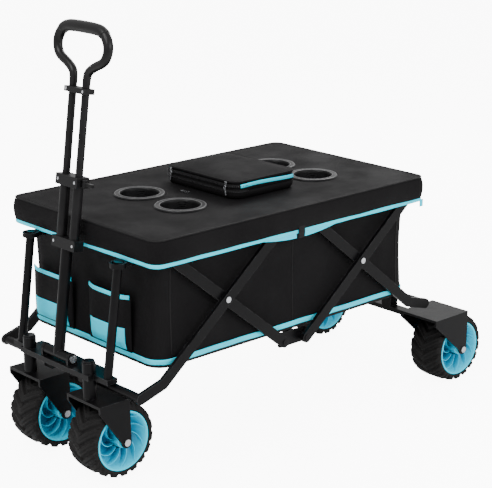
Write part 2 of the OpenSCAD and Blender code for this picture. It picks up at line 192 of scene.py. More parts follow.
def band(thick, tall, sides=16):
    """A flat cross-section with rounded ends."""
    points = []
    for k in range(sides):
        a = 2 * math.pi * k / sides
        c, s = math.cos(a), math.sin(a)
        points.append((thick / 2 * math.copysign(abs(c) ** 0.7, c),
                       tall / 2 * math.copysign(abs(s) ** 0.5, s)))
    return points


def swept(path, section, up=(0, 0, 1), closed=False, scale=None):
    """A cross-section of (side, up) offsets carried along a path, with marks for stitching."""
    up = Vector(up)
    count = len(path)
    half = max(v for _, v in section)
    rings, along, across = [], [], []
    length = 0.0
    for i, p in enumerate(path):
        before = path[(i - 1) % count] if closed or i else p
        after = path[(i + 1) % count] if closed or i < count - 1 else p
        heading = (after - before).normalized()
        side = heading.cross(up).normalized()
        lift = side.cross(heading)
        grow = scale[i] if scale else 1.0
        rings.append([p + (side * u + lift * v) * grow for u, v in section])
        length += (p - path[i - 1]).length if i else 0.0
        along += [length] * len(section)
        across += [v / half for _, v in section]
    verts, faces = skin(rings, wrap=closed, start=not closed, end=not closed)
    return verts, faces, {"along": along, "across": across}


def swept_piece(name, path, section, material, **how):
    """One swept cross-section as a piece."""
    verts, faces, marks = swept(path, section, **how)
    return piece(name, (verts, faces), material, marks=marks)


def smooth_path(points, passes=3):
    """Cuts a path's corners until it is a smooth curve."""
    for _ in range(passes):
        finer = [points[0]]
        for a, b in zip(points, points[1:]):
            finer += [a.lerp(b, 0.25), a.lerp(b, 0.75)]
        points = finer + [points[-1]]
    return points


def lathe(profile, centre, axis, sides=64):
    """A closed profile of (radius, along) turned round an axis through centre."""
    axis = Vector(axis)
    first = axis.orthogonal().normalized()
    second = axis.cross(first)
    rings = []
    for k in range(sides):
        a = 2 * math.pi * k / sides
        spoke = first * math.cos(a) + second * math.sin(a)
        rings.append([centre + spoke * r + axis * h for r, h in profile])
    return skin(rings, wrap=True)


def ripple(x, y, z, size, depth):
    """A smooth random height of about depth, with bumps about size across."""
    return depth * noise.noise(Vector((x, y, z)) / size)


def bake(made):
    """Turns a piece's modifiers into its mesh."""
    bpy.context.view_layer.update()
    final = bpy.data.meshes.new_from_object(made.evaluated_get(bpy.context.evaluated_depsgraph_get()))
    made.modifiers.clear()
    made.data = final
    return made


def thicken(made, thickness, offset=-1):
    """Gives a sheet its thickness: inward, or half to each side with offset 0."""
    solid = made.modifiers.new("thickness", "SOLIDIFY")
    solid.thickness = thickness
    solid.offset = offset
    return bake(made)


def cut_round_holes(made, places, radius, z0, z1):
    """Cuts upright round holes through a piece."""
    tools = merge([lathe([(0.0005, z0), (radius, z0), (radius, z1), (0.0005, z1)],
                         Vector((x, y, 0)), (0, 0, 1), 40) for x, y in places])
    cutter = piece("cutter", tools, made.data.materials[0])
    cut = made.modifiers.new("holes", "BOOLEAN")
    cut.operation = "DIFFERENCE"
    cut.solver = "EXACT"
    cut.object = cutter
    bake(made)
    bpy.data.objects.remove(cutter)
    return made


# ---------------------------------------------------------------- shared material effects


def node_group(name, inputs, outputs):
    """An empty shader node group with float inputs {name: default} and float outputs by name."""
    tree = bpy.data.node_groups.new(name, "ShaderNodeTree")
    for label, value in inputs.items():
        made = tree.interface.new_socket(label, in_out="INPUT", socket_type="NodeSocketFloat")
        made.default_value = value
    for label in outputs:
        tree.interface.new_socket(label, in_out="OUTPUT", socket_type="NodeSocketFloat")
    return tree, tree.nodes.new("NodeGroupInput"), tree.nodes.new("NodeGroupOutput")


def put(tree, value, socket):
    """Gives an input a number, or links another node's output to it."""
    if isinstance(value, (int, float)):
        socket.default_value = value
    else:
        tree.links.new(value, socket)


def math_node(tree, operation, a, b=None, clamp=False):
    """A maths node whose inputs are sockets or numbers; returns its output."""
    made = tree.nodes.new("ShaderNodeMath")
    made.operation = operation
    made.use_clamp = clamp
    put(tree, a, made.inputs[0])
    if b is not None:
        put(tree, b, made.inputs[1])
    return made.outputs[0]


def noise_value(tree, place, scale, detail=3.0, rough=0.55):
    """A noise texture's value at place, with its scale a number or a socket."""
    made = tree.nodes.new("ShaderNodeTexNoise")
    made.inputs["Detail"].default_value = detail
    made.inputs["Roughness"].default_value = rough
    tree.links.new(place, made.inputs["Vector"])
    put(tree, scale, made.inputs["Scale"])
    return made.outputs["Fac"]


def weave_and_painted_shading_effect():
    """Crossed threads: Height for bump, and a colour mask that is a painted highlight on the raised threads
    and painted shade between them.
    """
    tree, given, out = node_group("weave", {"Threads per metre": 1400.0, "Slub": 0.35}, ("Height", "Painted thread shading"))
    place = tree.nodes.new("ShaderNodeTexCoord").outputs["Object"]
    split = tree.nodes.new("ShaderNodeSeparateXYZ")
    tree.links.new(place, split.inputs[0])
    turns = math_node(tree, "MULTIPLY", given.outputs["Threads per metre"], math.pi)
    waves = [math_node(tree, "SINE", math_node(tree, "MULTIPLY", s, turns)) for s in split.outputs]
    pairs = [math_node(tree, "MULTIPLY", waves[i], waves[(i + 1) % 3]) for i in range(3)]
    cloth = math_node(tree, "ADD", math_node(tree, "ADD", pairs[0], pairs[1]), pairs[2])
    slub = math_node(tree, "MULTIPLY", noise_value(tree, place, 260.0), given.outputs["Slub"])
    height = math_node(tree, "ADD", math_node(tree, "MULTIPLY", cloth, 0.4), slub)
    tree.links.new(height, out.inputs["Height"])
    # Painted highlight and shade: the mask is light where the threads are raised and dark in the dips between
    # them.
    painted_thread_shading = math_node(tree, "ADD", math_node(tree, "MULTIPLY", height, 0.5), 0.4, clamp=True)
    tree.links.new(painted_thread_shading, out.inputs["Painted thread shading"])
    return tree


def grain_effect():
    """Fine moulded or sprayed grain over broad unevenness: Height, and Cloud from 0 to 1."""
    tree, given, out = node_group("grain", {"Fine": 900.0, "Broad": 14.0}, ("Height", "Cloud"))
    place = tree.nodes.new("ShaderNodeTexCoord").outputs["Object"]
    fine = noise_value(tree, place, given.outputs["Fine"], 2.0)
    broad = noise_value(tree, place, given.outputs["Broad"], 4.0)
    height = math_node(tree, "ADD", fine, math_node(tree, "MULTIPLY", broad, 0.3))
    tree.links.new(height, out.inputs["Height"])
    spread = math_node(tree, "MULTIPLY", math_node(tree, "SUBTRACT", broad, 0.35), 3.0, clamp=True)
    tree.links.new(spread, out.inputs["Cloud"])
    return tree


def rub_and_painted_highlight_effect():
    """Edge wear and painted edge highlight: the mask is 1 along sharp edges, in the patches that the rubbing
    reached.
    """
    tree, given, out = node_group("rubbed and painted edge highlights", {"Width": 0.0012, "Patch": 60.0}, ("Rub and painted highlight",))
    place = tree.nodes.new("ShaderNodeTexCoord").outputs["Object"]
    round_off = tree.nodes.new("ShaderNodeBevel")
    round_off.samples = 4
    tree.links.new(given.outputs["Width"], round_off.inputs["Radius"])
    facing = tree.nodes.new("ShaderNodeVectorMath")
    facing.operation = "DOT_PRODUCT"
    tree.links.new(round_off.outputs["Normal"], facing.inputs[0])
    tree.links.new(tree.nodes.new("ShaderNodeNewGeometry").outputs["Normal"], facing.inputs[1])
    turned = math_node(tree, "SUBTRACT", 1.0, facing.outputs["Value"])
    # Sharp edges, where the painted edge highlight and the wear both go.
    edge = math_node(tree, "MULTIPLY", math_node(tree, "SUBTRACT", turned, 0.02), 12.0, clamp=True)
    patch = noise_value(tree, place, given.outputs["Patch"], 3.0)
    reach = math_node(tree, "MULTIPLY", math_node(tree, "SUBTRACT", patch, 0.35), 2.5, clamp=True)
    tree.links.new(math_node(tree, "MULTIPLY", edge, reach), out.inputs["Rub and painted highlight"])
    return tree


def dust_effect():
    """Dust that settles on what faces up and thins with height: Dust from 0 to 1."""
    tree, given, out = node_group("dust", {"Amount": 0.3, "Top": 0.3}, ("Dust",))
    shape = tree.nodes.new("ShaderNodeNewGeometry")
    facing = tree.nodes.new("ShaderNodeSeparateXYZ")
    tree.links.new(shape.outputs["Normal"], facing.inputs[0])
    where = tree.nodes.new("ShaderNodeSeparateXYZ")
    tree.links.new(shape.outputs["Position"], where.inputs[0])
    up = math_node(tree, "ADD", math_node(tree, "MULTIPLY", facing.outputs["Z"], 0.5), 0.5, clamp=True)
    height = math_node(tree, "DIVIDE", where.outputs["Z"], given.outputs["Top"])
    low = math_node(tree, "SUBTRACT", 1.0, height, clamp=True)
    place = tree.nodes.new("ShaderNodeTexCoord").outputs["Object"]
    speck = math_node(tree, "MULTIPLY", noise_value(tree, place, 34.0, 5.0, 0.7), given.outputs["Amount"])
    settled = math_node(tree, "MULTIPLY", up, low)
    tree.links.new(math_node(tree, "MULTIPLY", speck, settled), out.inputs["Dust"])
    return tree


def stitch_effect():
    """Two rows of stitches along a swept band: Stitch is 1 on the thread."""
    tree, given, out = node_group("stitches", {"Stitches per metre": 300.0, "Row": 0.55}, ("Stitch",))
    along = tree.nodes.new("ShaderNodeAttribute")
    along.attribute_name = "along"
    across = tree.nodes.new("ShaderNodeAttribute")
    across.attribute_name = "across"
    turns = math_node(tree, "MULTIPLY", given.outputs["Stitches per metre"], 2 * math.pi)
    beat = math_node(tree, "SINE", math_node(tree, "MULTIPLY", along.outputs["Fac"], turns))
    on = math_node(tree, "GREATER_THAN", beat, -0.3)
    from_middle = math_node(tree, "ABSOLUTE", across.outputs["Fac"])
    away = math_node(tree, "ABSOLUTE", math_node(tree, "SUBTRACT", from_middle, given.outputs["Row"]))
    row = math_node(tree, "LESS_THAN", away, 0.1)
    tree.links.new(math_node(tree, "MULTIPLY", on, row), out.inputs["Stitch"])
    return tree


WEAVE_AND_PAINTED_SHADING = weave_and_painted_shading_effect()
GRAIN = grain_effect()
RUB_AND_PAINTED_HIGHLIGHT = rub_and_painted_highlight_effect()
DUST = dust_effect()
STITCH = stitch_effect()

# ---------------------------------------------------------------- materials


class Finish:
    """A Principled material being built: effects go in as groups, and set what varies."""

    def __init__(self, name, colour, roughness, **sockets):
        self.material = bpy.data.materials.new(name)
        self.material.use_nodes = True
        self.tree = self.material.node_tree
        self.shader = self.tree.nodes["Principled BSDF"]
        self.shader.inputs["Base Color"].default_value = (*colour, 1)
        self.shader.inputs["Roughness"].default_value = roughness
        for label, value in sockets.items():
            self.shader.inputs[label.replace("_", " ")].default_value = value
        self.base = colour
        self.colour = None
        self.normal = None

    def effect(self, group, **values):
        """Adds a shared effect with these inputs; returns its outputs."""
        made = self.tree.nodes.new("ShaderNodeGroup")
        made.node_tree = group
        for label, value in values.items():
            made.inputs[label.replace("_", " ")].default_value = value
        return made.outputs

    def mark(self, name):
        """A mesh's named values."""
        made = self.tree.nodes.new("ShaderNodeAttribute")
        made.attribute_name = name
        return made.outputs["Fac"]

    def tint(self, mask, colour):
        """Mixes a colour in where the mask is 1."""
        mix = self.tree.nodes.new("ShaderNodeMix")
        mix.data_type = "RGBA"
        self.tree.links.new(mask, mix.inputs["Factor"])
        # Inputs 6 and 7 and output 2 are the mix's colour sockets.
        if self.colour is None:
            mix.inputs[6].default_value = (*self.base, 1)
        else:
            self.tree.links.new(self.colour, mix.inputs[6])
        mix.inputs[7].default_value = (*colour, 1)
        self.colour = mix.outputs[2]
        self.tree.links.new(self.colour, self.shader.inputs["Base Color"])

    def vary_roughness(self, mask, low, high):
        """Roughness runs from low to high as the mask goes from 0 to 1."""
        span = self.tree.nodes.new("ShaderNodeMapRange")
        span.inputs["To Min"].default_value = low
        span.inputs["To Max"].default_value = high
        self.tree.links.new(mask, span.inputs["Value"])
        self.tree.links.new(span.outputs["Result"], self.shader.inputs["Roughness"])

    def bump(self, height, distance, strength):
        """Adds a bump of this height in metres on top of the bumps before it."""
        made = self.tree.nodes.new("ShaderNodeBump")
        made.inputs["Distance"].default_value = distance
        made.inputs["Strength"].default_value = strength
        self.tree.links.new(height, made.inputs["Height"])
        if self.normal is not None:
            self.tree.links.new(self.normal, made.inputs["Normal"])
        self.normal = made.outputs["Normal"]
        self.tree.links.new(self.normal, self.shader.inputs["Normal"])

    def grained(self, fine, broad, cloud=None, rough=None, bump=None):
        """Adds grain: the cloud's colour, the range of roughness, and the bump's height and strength."""
        grain = self.effect(GRAIN, Fine=fine, Broad=broad)
        if cloud:
            self.tint(grain["Cloud"], cloud)
        if rough:
            self.vary_roughness(grain["Cloud"], *rough)
        if bump:
            self.bump(grain["Height"], *bump)


def grained_finish(name, colour, roughness, grain, rubbed=None, **sockets):
    """A finish that is plain grain, with edges lightened to a width and colour, as wear and painted
    highlight, where they are given.
    """
    made = Finish(name, colour, roughness, **sockets)
    made.grained(*grain)
    if rubbed:
        width, edge_wear_and_highlight_colour = rubbed
        # Lightens the edges: partly edge wear, partly a painted edge highlight.
        made.tint(made.effect(RUB_AND_PAINTED_HIGHLIGHT, Width=width)["Rub and painted highlight"], edge_wear_and_highlight_colour)
    return made.material


def tyre_rubber():
    """Matt black rubber, a little dusty near the ground, its edges lightened as wear and painted highlight.
    """
    made = Finish("tread rubber", (0.0038, 0.0036, 0.0037), 0.60, Specular_IOR_Level=0.14)
    made.grained(1100.0, 30.0, (0.0055, 0.0052, 0.0053), (0.52, 0.72), (0.00018, 0.6))
    # Edges lightened: partly wear, partly a painted edge highlight.
    made.tint(made.effect(RUB_AND_PAINTED_HIGHLIGHT, Width=0.0010, Patch=90.0)["Rub and painted highlight"], (0.030, 0.028, 0.028))
    made.tint(made.effect(DUST, Amount=0.30, Top=0.20)["Dust"], (0.06, 0.055, 0.051))
    return made.material


def rim_plastic():
    """Bright cyan moulded plastic, with painted shade that darkens it to blue down in the dish."""
    made = Finish("cyan wheel plastic", (0.002, 0.66, 0.90), 0.32, Specular_IOR_Level=0.35)
    # Painted shade: the deep mark darkens the colour towards the bottom of the dish.
    made.tint(made.mark("deep"), (0.0, 0.085, 0.22))
    made.grained(1300.0, 26.0, rough=(0.26, 0.38), bump=(0.00008, 0.4))
    return made.material


def black_cloth(name, colour, threads):
    """Black polyester Oxford cloth: crossed threads and soft clouding."""
    made = Finish(name, colour, 0.70, Specular_IOR_Level=0.09)
    weave = made.effect(WEAVE_AND_PAINTED_SHADING, Threads_per_metre=threads)
    # Painted highlight on the raised threads, painted shade between them.
    made.tint(weave["Painted thread shading"], tuple(c * 1.9 for c in colour))
    made.grained(500.0, 9.0, rough=(0.62, 0.80), bump=(0.0006, 0.35))
    made.bump(weave["Height"], 0.00022, 0.7)
    return made.material


def blue_binding():
    """Cyan binding tape: a ribbed weave with two rows of stitches."""
    made = Finish("cyan binding tape", (0.004, 0.72, 0.95), 0.55, Specular_IOR_Level=0.2)
    weave = made.effect(WEAVE_AND_PAINTED_SHADING, Threads_per_metre=1900.0, Slub=0.2)
    stitch = made.effect(STITCH)
    # Painted highlight on the raised threads, painted shade between them.
    made.tint(weave["Painted thread shading"], (0.010, 0.82, 0.98))
    made.grained(500.0, 20.0, (0.002, 0.66, 0.90), (0.48, 0.62))
    made.tint(stitch["Stitch"], (0.05, 0.90, 1.0))
    made.bump(weave["Height"], 0.00025, 0.7)
    made.bump(stitch["Stitch"], 0.0004, 0.8)
    return made.material


def black_webbing():
    """Black woven webbing and seam tape with stitches."""
    made = Finish("black webbing", (0.0045, 0.0042, 0.0045), 0.6, Specular_IOR_Level=0.14)
    weave = made.effect(WEAVE_AND_PAINTED_SHADING, Threads_per_metre=1000.0, Slub=0.2)
    stitch = made.effect(STITCH, Stitches_per_metre=260.0)
    # Painted highlight on the raised threads, painted shade between them.
    made.tint(weave["Painted thread shading"], (0.009, 0.0085, 0.009))
    made.tint(stitch["Stitch"], (0.022, 0.021, 0.022))
    made.vary_roughness(weave["Painted thread shading"], 0.52, 0.68)
    made.bump(weave["Height"], 0.0003, 0.8)
    made.bump(stitch["Stitch"], 0.0004, 0.8)
    return made.material


# How fast the net's cords repeat, in radians per metre, and the share of the wave that is cord.
CORD_PITCH = 1500.0
CORD_LEVEL = 0.1


def net_cloth():
    """Open black net: diamond holes between crossed cords."""
    made = Finish("black net", (0.004, 0.004, 0.0044), 0.6, Specular_IOR_Level=0.15)
    tree = made.tree
    split = tree.nodes.new("ShaderNodeSeparateXYZ")
    tree.links.new(tree.nodes.new("ShaderNodeTexCoord").outputs["Object"], split.inputs[0])
    flat = math_node(tree, "ADD", split.outputs["X"], split.outputs["Y"])
    cords = []
    for sign in (1.0, -1.0):
        slant = math_node(tree, "ADD", flat, math_node(tree, "MULTIPLY", split.outputs["Z"], sign))
        wave = math_node(tree, "SINE", math_node(tree, "MULTIPLY", slant, CORD_PITCH))
        cords.append(math_node(tree, "GREATER_THAN", wave, CORD_LEVEL))
    tree.links.new(math_node(tree, "MAXIMUM", *cords), made.shader.inputs["Alpha"])
    made.grained(1400.0, 40.0, (0.007, 0.007, 0.0075), (0.5, 0.7), (0.0002, 0.6))
    return made.material


# The floor's own light, which only the camera sees, so that it adds nothing to what stands on it.
FLOOR_GLOW = 9.0


def floor_paint():
    """The plain pale floor."""
    made = Finish("pale floor", (0.90, 0.90, 0.90), 0.60, Specular_IOR_Level=0.2)
    made.shader.inputs["Emission Color"].default_value = (1, 1, 1, 1)
    seen = made.tree.nodes.new("ShaderNodeLightPath").outputs["Is Camera Ray"]
    glow = math_node(made.tree, "MULTIPLY", seen, FLOOR_GLOW)
    made.tree.links.new(glow, made.shader.inputs["Emission Strength"])
    made.grained(300.0, 1.2, (0.885, 0.885, 0.885))
    return made.material


# Satin black powder coat with an orange-peel skin, lightened grey at the corners as wear and painted edge
# highlight.
POWDER = grained_finish("satin powder coat", (0.0030, 0.0029, 0.0032), 0.32,
                        (1500.0, 22.0, (0.0046, 0.0044, 0.0049), (0.28, 0.42), (0.00012, 0.5)),
                        rubbed=(0.0014, (0.10, 0.10, 0.105)), Specular_IOR_Level=0.10)
# Bright zinc plating with faint brushing.
STEEL = grained_finish("zinc plated steel", (0.62, 0.63, 0.65), 0.24,
                       (2200.0, 90.0, (0.50, 0.51, 0.54), (0.18, 0.36), (0.00006, 0.4)), Metallic=1.0)
RUBBER = tyre_rubber()
CYAN_PLASTIC = rim_plastic()
CLOTH = black_cloth("black coated cloth", (0.0030, 0.0027, 0.0030), 1400.0)
TUB_CLOTH = black_cloth("black tub cloth", (0.0034, 0.0031, 0.0034), 1200.0)
BINDING = blue_binding()
WEBBING = black_webbing()
NET = net_cloth()
# Moulded plastic with a fine spark-eroded grain, its edges lightened as wear and painted edge highlight.
MOULDED = grained_finish("moulded black plastic", (0.0034, 0.0032, 0.0036), 0.40,
                         (2000.0, 30.0, (0.0062, 0.006, 0.0065), (0.34, 0.50), (0.00014, 0.6)),
                         rubbed=(0.0010, (0.045, 0.045, 0.048)), Specular_IOR_Level=0.18)
# The handle's soft grip, with a smooth, slightly shiny skin.
GRIP = grained_finish("grip rubber", (0.0034, 0.0032, 0.0034), 0.32,
                      (800.0, 18.0, (0.0064, 0.006, 0.0064), (0.28, 0.42), (0.00012, 0.4)),
                      Specular_IOR_Level=0.2)
# The thin light line pressed into each cup ring.
PALE = grained_finish("pale ring line", (0.22, 0.22, 0.225), 0.4,
                      (1500.0, 60.0, (0.15, 0.15, 0.155), None, (0.00008, 0.4)))
# Dark nickel zip teeth.
TEETH = grained_finish("dark zip teeth", (0.16, 0.16, 0.17), 0.3,
                       (2500.0, 120.0, (0.07, 0.07, 0.075), (0.22, 0.4), (0.00006, 0.4)), Metallic=0.9)

FINISH_OF_SLOT = {"frame_paint": POWDER, "steel": STEEL, "tread_rubber": RUBBER,
                  "blue_plastic": CYAN_PLASTIC, "black_fabric": CLOTH, "blue_fabric": BINDING,
                  "mesh_net": NET, "black_plastic": MOULDED}

# ---------------------------------------------------------------- riding


def placed(made, body):
    """A rigid piece that rides on a body."""
    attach(made, body)
    return made


def crumples(made, body):
    """A soft piece that rides on a body and has its own copy of its mesh."""
    placed(made, body)
    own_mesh(made)
    return made


# ---------------------------------------------------------------- the tub

TUB_CORNER_R = 0.042
TUB_ROUND = outline(TUB_LO, TUB_HI, TUB_CORNER_R, 0.014)
TUB_TALL = TUB_HI.z - TUB_LO.z
TUB_SEAMS_X = (MID_X - 0.004, TUB_LO.x + TUB_CORNER_R, TUB_HI.x - TUB_CORNER_R)
TUB_LEVELS = 22
TUB_CLOTH_T = 0.0028
TUB_HANG = 0.007
TUB_CREASE = 0.0035
# How far apart the broad creases and the small folds lie.
CREASE_SIZE = 0.075
FOLD_SIZE = 0.032
# Tape sections as (thickness, height), and the height of each tape's middle above the tub's floor.
FLOOR_TAPE = band(0.0030, 0.0125)
FLOOR_TAPE_Z = 0.0125
FLOOR_EDGE = band(0.0034, 0.0070)
FLOOR_EDGE_Z = 0.0030
TUB_SEAM = disc(0.0019, 8)
TUB_SEAM_STEPS = 12


def tub_wall_inset(x, y, share):
    """How far the hanging wall draws in at this place; share is 0 at the floor and 1 at the rim."""
    held = math.sin(math.pi * share)
    on_long_side = abs(y) > TUB_HI.y - 0.02
    panel = abs(math.sin(math.pi * (x - MID_X) / (TUB_HI.x - MID_X))) if on_long_side else 1.0
    crease = ripple(x, y * 1.3, share * 0.10, CREASE_SIZE, TUB_CREASE)
    folds = ripple(x, y, share * 0.02, FOLD_SIZE, TUB_CREASE * 0.5)
    return held * (TUB_HANG * (0.35 + 0.65 * panel) + abs(crease) + folds * 0.5 + TUB_CREASE * 0.3)


def tub():
    """The open fabric tub: four hanging walls and the floor, one shell."""
    rings = []
    for k in range(TUB_LEVELS + 1):
        share = 1 - k / TUB_LEVELS
        z = TUB_LO.z + TUB_TALL * share
        rings.append([pushed(point, -tub_wall_inset(*point[:2], share), z) for point in TUB_ROUND])
    rings += inward_rings(TUB_ROUND, 0, (0.98, 0.9, 0.7, 0.4, 0.08), lambda x, y: TUB_LO.z)
    made = thicken(piece("tub_cloth", skin(rings, end=True), TUB_CLOTH, sharp=50), TUB_CLOTH_T)
    crumples(made, "tub")
    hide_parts("tub_fabric")


def tub_trim():
    """The blue tape round the floor's edge, the black tape under it and the side seams."""
    tape = [pushed(point, 0.0004, TUB_LO.z + FLOOR_TAPE_Z + ripple(*point[:2], 0, 0.05, 0.0012))
            for point in TUB_ROUND]
    crumples(swept_piece("tub_floor_tape", tape, FLOOR_TAPE, BINDING, closed=True), "tub")
    under = ring_at(TUB_ROUND, -0.0008, TUB_LO.z + FLOOR_EDGE_Z)
    crumples(swept_piece("tub_floor_edge", under, FLOOR_EDGE, WEBBING, closed=True), "tub")
    seams = []
    for side in (1, -1):
        for x in TUB_SEAMS_X:
            path = []
            for k in range(TUB_SEAM_STEPS + 1):
                share = 0.06 + 0.90 * k / TUB_SEAM_STEPS
                out = TUB_HI.y - tub_wall_inset(x, side * TUB_HI.y, share) - 0.0006
                path.append(Vector((x, side * out, TUB_LO.z + TUB_TALL * share)))
            seams.append(swept(path, TUB_SEAM, up=(1, 0, 0))[:2])
    crumples(piece("tub_side_seams", merge(seams), WEBBING), "tub")


MAT_PANELS = 4
MAT_COLUMNS = 64
MAT_ROWS = 16


def floor_mat():
    """The folding floor mat: four stiff padded panels with sewn hinges between them."""
    long, wide, tall = MAT_HI.x - MAT_LO.x, MAT_HI.y - MAT_LO.y, MAT_HI.z - MAT_LO.z
    verts = []
    for top in (True, False):
        for i in range(MAT_COLUMNS + 1):
            for j in range(MAT_ROWS + 1):
                u, v = i / MAT_COLUMNS, j / MAT_ROWS
                near_seam = abs((u * MAT_PANELS) % 1.0 - 0.5) * 2
                plump = min(1.0, 3.0 * (1 - near_seam ** 6)) * min(1.0, 9 * min(v, 1 - v) + 0.25)
                z = MAT_LO.z + tall * (0.45 + 0.5 * plump) if top else MAT_LO.z
                verts.append(Vector((MAT_LO.x + long * u, MAT_LO.y + wide * v, z)))
    upper = grid_faces(MAT_COLUMNS + 1, MAT_ROWS + 1)
    width = MAT_ROWS + 1
    base = (MAT_COLUMNS + 1) * width
    rim = list(range(width))
    rim += [i * width + MAT_ROWS for i in range(1, MAT_COLUMNS + 1)]
    rim += [MAT_COLUMNS * width + j for j in range(MAT_ROWS - 1, -1, -1)]
    rim += [i * width for i in range(MAT_COLUMNS - 1, 0, -1)]
    faces = upper + [tuple(i + base for i in face) for face in upper]
    faces += [(a, b, b + base, a + base) for a, b in zip(rim, rim[1:] + rim[:1])]
    made = piece("floor_mat_padding", (verts, faces), CLOTH, sharp=50)
    crumples(made, "tub")
    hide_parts("floor_mat")


# ---------------------------------------------------------------- the front pockets

POCKET_PATCH_SHARE = 0.44
POCKET_BACK = 0.0012
POUCH_T = 0.0014
PATCH_T = 0.0012
PATCH_PROUD = 0.0013
POCKET_BINDING = band(0.0030, 0.0100)
POCKET_ACROSS = 28
POCKET_UP = 20


def pocket(node):
    """One front pocket: a full black pouch with a blue lower patch and a blue top binding."""
    lo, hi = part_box(node)
    deep = hi.x - lo.x - 0.0015

    def place(u, v, proud=0.0):
        edge = min(1.0, 5.5 * min(u, 1 - u)) ** 0.6
        lift = min(1.0, 6 * v) ** 0.6 * (0.72 + 0.28 * math.sin(math.pi * min(v, 0.95)))
        slack = 0.90 + 0.10 * math.sin(3 * math.pi * u) * v
        x = lo.x + POCKET_BACK + deep * edge * lift * slack + proud
        sag = 0.004 * v * math.sin(math.pi * u)
        return Vector((x, lo.y + (hi.y - lo.y) * u, lo.z + (hi.z - lo.z) * v - sag))

    def panel(title, u0, u1, v0, v1, material, thickness, proud):
        verts = [place(u0 + (u1 - u0) * j / POCKET_ACROSS, v0 + (v1 - v0) * i / POCKET_UP, proud)
                 for i in range(POCKET_UP + 1) for j in range(POCKET_ACROSS + 1)]
        faces = grid_faces(POCKET_UP + 1, POCKET_ACROSS + 1)
        return thicken(piece(title, (verts, faces), material), thickness, offset=0)

    pouch = crumples(panel(node + "_pouch", 0, 1, 0, 1, TUB_CLOTH, POUCH_T, 0.0), "tub")
    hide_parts(node)
    patch = panel(node + "_patch", 0.09, 0.91, 0.04, POCKET_PATCH_SHARE, BINDING, PATCH_T, PATCH_PROUD)
    crumples(patch, "tub")
    top = [place(0.02 + 0.96 * k / 24, 1.0) for k in range(25)]
    binding = swept_piece(node + "_binding", top, POCKET_BINDING, BINDING)
    crumples(binding, "tub")


# ---------------------------------------------------------------- the lid

LID_ROUND = outline(LID_LO, LID_HI, 0.025, 0.016)
LID_TALL = LID_HI.z - LID_LO.z
LID_CLOTH_T = 0.0028
# Outward swell of the lid's side from its hem to its top edge, as (height share, outset).
LID_SIDE = ((0.0, 0.0), (0.10, 0.0006), (0.25, 0.0032), (0.45, 0.0052), (0.65, 0.0052), (0.80, 0.0034),
            (0.90, 0.0014), (0.96, -0.0012))
# The soft top edge, as (outset, depth below the top).
LID_TOP_EDGE = ((-0.0036, 0.0012), (-0.0068, 0.0004))
HEM_TALL = 0.0115
HEM = band(0.0046, HEM_TALL)
LID_SEAM = disc(0.0021, 8)
LID_SEAM_SHARE = 0.975
STRAP = band(0.0018, 0.020)
STRAP_LONG = 0.034
# The leaf-shaped flaps: how far from mid-length they start, how long they are and how deep they hang.
LEAF_START = 0.012
LEAF_LONG = 0.112
LEAF_DEEP = 0.0125
LEAF_POINTS = 17


def lid_top_height(x, y):
    """The lid's top: flat under the cups and the bag, with a faint slackness between them."""
    reach = max(abs(x - MID_X) / (LID_HI.x - MID_X), abs(y) / LID_HI.y)
    edge = 0.0016 * max(0.0, reach - 0.9) / 0.1
    return LID_HI.z - 0.0002 - edge - 0.0011 * (0.5 + ripple(x, y, 0, 0.13, 0.9)) * (1 - reach ** 6)


def lid():
    """The fitted lid: swelling sides, soft top edges and four holes for the cups."""
    rings = []
    for share, out in LID_SIDE:
        ring = []
        for point in LID_ROUND:
            x, y = point[:2]
            swell = out + ripple(x, y, share * 0.05, 0.09, 0.0016) * math.sin(math.pi * share)
            ring.append(pushed(point, swell, LID_LO.z + LID_TALL * share))
        rings.append(ring)
    for out, drop in LID_TOP_EDGE:
        rings.append(ring_at(LID_ROUND, out, LID_HI.z - drop))
    shares = [1 - 0.024 * k for k in range(1, 5)] + [0.88 - 0.08 * k for k in range(0, 11)]
    rings += inward_rings(LID_ROUND, LID_TOP_EDGE[-1][0], shares, lid_top_height)
    made = thicken(piece("lid_top_cloth", skin(rings, end=True), CLOTH), LID_CLOTH_T)
    cut_round_holes(made, CUP_PLACES, CUP_R + 0.002, LID_LO.z + 0.02, LID_HI.z + 0.02)
    made.data.shade_smooth()
    made.data.set_sharp_from_angle(angle=math.radians(50))
    crumples(made, "lid")
    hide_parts("lid_cover")


def leaf(way, side, y):
    """One leaf-shaped flap that hangs under the hem, deepest at mid-length."""
    top, low = [], []
    for k in range(LEAF_POINTS):
        t = k / (LEAF_POINTS - 1)
        x = MID_X + way * (LEAF_START + LEAF_LONG * t)
        drop = LEAF_DEEP * (1 - t ** 1.8)
        top.append(Vector((x, y - side * 0.0040, LID_LO.z + 0.004)))
        low.append(Vector((x, y - side * 0.0030, LID_LO.z + 0.001 - drop)))
    outer = top + low[::-1]
    inner = [p - Vector((0, side * 0.0010, 0)) for p in outer]
    return outer + inner, leaf_faces(LEAF_POINTS)


